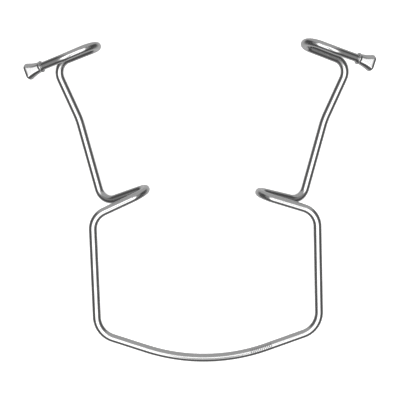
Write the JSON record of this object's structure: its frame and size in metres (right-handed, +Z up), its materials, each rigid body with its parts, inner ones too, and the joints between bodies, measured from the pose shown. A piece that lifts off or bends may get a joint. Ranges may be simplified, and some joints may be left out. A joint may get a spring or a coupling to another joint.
{
  "type": "cheek retractor",
  "caption": "Self-retaining wire lip and cheek retractor: a bent spring-wire frame with U-turns for the lips and a flared cap on each wire end.",
  "frame": {"origin": "middle of the frame's outline, on the table that the arms lie on", "axes": "+X across the mouth towards the right-hand arm, +Y from the chin bow to the upper hooks, +Z up from the table, towards the bow's side"},
  "size_m": [0.1154, 0.1053, 0.0183],
  "materials": {
    "wire_steel": "polished",
    "cap_steel": "polished"
  },
  "bodies": {
    "bow": {"bow_crown": "wire_steel", "left_bow_spring": "wire_steel", "right_bow_spring": "wire_steel"},
    "left_leg_side": {"left_leg": "wire_steel", "left_lip_bend": "wire_steel"},
    "left_cheek_arm": {"left_arm": "wire_steel", "left_upper_hook": "wire_steel", "left_end_cap": "cap_steel"},
    "right_leg_side": {"right_leg": "wire_steel", "right_lip_bend": "wire_steel"},
    "right_cheek_arm": {"right_arm": "wire_steel", "right_upper_hook": "wire_steel", "right_end_cap": "cap_steel"}
  },
  "joints": [
    {"name": "left_squeeze", "type": "hinge", "parent": "bow", "child": "left_leg_side", "pos_m": [-0.0173, -0.0485, 0.017], "axis": [0, 0, -1], "range_deg": [-3, 12], "stiffness_Nm_per_rad": 4, "deforming": ["left_bow_spring"]},
    {"name": "right_squeeze", "type": "hinge", "parent": "bow", "child": "right_leg_side", "pos_m": [0.0222, -0.0478, 0.017], "axis": [0, 0, 1], "range_deg": [-3, 12], "stiffness_Nm_per_rad": 4, "deforming": ["right_bow_spring"]},
    {"name": "left_arm_flex", "type": "hinge", "parent": "left_leg_side", "child": "left_cheek_arm", "pos_m": [-0.0176, 0.0031, 0.0125], "axis": [0, 0, -1], "range_deg": [-5, 5], "stiffness_Nm_per_rad": 3.5, "deforming": ["left_lip_bend"]},
    {"name": "right_arm_flex", "type": "hinge", "parent": "right_leg_side", "child": "right_cheek_arm", "pos_m": [0.0195, 0.0022, 0.0125], "axis": [0, 0, 1], "range_deg": [-5, 5], "stiffness_Nm_per_rad": 3.5, "deforming": ["right_lip_bend"]}
  ],
  "couplings": [
    {"joint": "right_squeeze", "follows": "left_squeeze", "ratio": 1}
  ]
}
